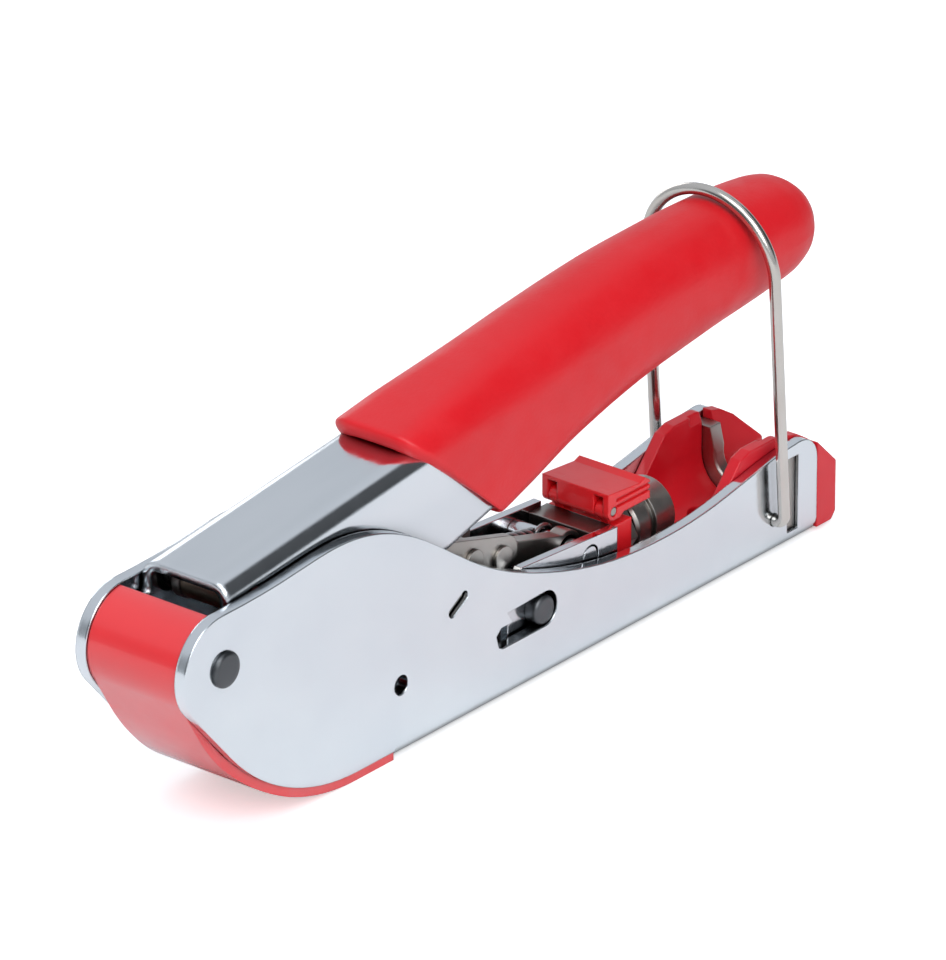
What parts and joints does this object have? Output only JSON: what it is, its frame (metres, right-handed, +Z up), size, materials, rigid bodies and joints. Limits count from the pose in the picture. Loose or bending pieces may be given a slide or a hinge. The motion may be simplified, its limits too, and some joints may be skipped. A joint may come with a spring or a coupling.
{
  "type": "coaxial connector compression tool",
  "caption": "Hand-lever press: a folded channel body, a long sleeved handle driving a guided plunger towards a notched end plate, and a wire bail that latches the handle shut.",
  "frame": {"origin": "centre of the overall box in X and Y, on the flat base", "axes": "+X from the nose towards the open rear end of the handle, +Z up away from the base, Y across the tool"},
  "size_m": [0.165, 0.0282, 0.0643],
  "materials": {
    "chrome_plate": "bright chrome plate, fine scuffs",
    "steel": "plain zinc-plated steel",
    "dark_steel": "blackened steel",
    "brass": "turned brass",
    "red_coating": "gloss red coating",
    "red_sleeve": "soft satin vinyl sleeve",
    "red_block": "moulded plastic, satin gloss",
    "nickel_wire": "nickel-plated wire",
    "spring_steel": "bright spring wire"
  },
  "bodies": {
    "body": {"body_channel": "chrome_plate", "nose_cover": "red_coating", "cover_rivets": "steel", "spring_anchor": "steel", "cable_cradle": "red_coating", "cradle_rivet": "steel", "anvil_plate": "steel", "pivot_pin": "dark_steel", "pivot_washers": "steel", "pivot_bush": "brass", "return_spring": "spring_steel"},
    "handle": {"handle_channel": "chrome_plate", "handle_grip": "red_sleeve", "crank_pin": "steel", "crank_sleeve": "brass"},
    "link": {"link_channel": "steel", "push_bar": "steel", "link_rivets": "brass"},
    "carriage": {"plunger_carriage": "chrome_plate", "guide_pin": "steel", "link_pin": "steel", "plunger_block": "steel", "carriage_rivets": "steel", "plunger_rod": "steel", "lock_nut": "steel", "plunger_head": "steel", "block_saddle": "red_block", "flip_pin": "steel"},
    "flip": {"flip_block": "red_block"},
    "bail": {"lock_bail": "nickel_wire"}
  },
  "joints": [
    {"name": "handle_hinge", "type": "hinge", "parent": "body", "child": "handle", "pos_m": [-0.07293, 0, 0.03125], "axis": [0, -1, 0], "range_deg": [0, 30], "deforming": ["lock_bail"]},
    {"name": "link_hinge", "type": "hinge", "parent": "handle", "child": "link", "pos_m": [-0.06269, 0, 0.03842], "axis": [0, -1, 0], "range_deg": [-33.2, 0]},
    {"name": "plunger_slide", "type": "slide", "parent": "body", "child": "carriage", "axis": [-1, 0, 0], "range_m": [0, 0.0061], "deforming": ["return_spring"]},
    {"name": "flip_hinge", "type": "hinge", "parent": "carriage", "child": "flip", "pos_m": [0.02838, 0, 0.0199], "axis": [0, -1, 0], "range_deg": [0, 75]},
    {"name": "bail_hinge", "type": "hinge", "parent": "body", "child": "bail", "pos_m": [0.06527, 0, 0.00635], "axis": [0, 1, 0], "range_deg": [0, 95]}
  ],
  "couplings": [
    {"joint": "link_hinge", "follows": "handle_hinge", "ratio": -1.1017},
    {"joint": "plunger_slide", "follows": "handle_hinge", "m_per_rad": 0.011614}
  ]
}
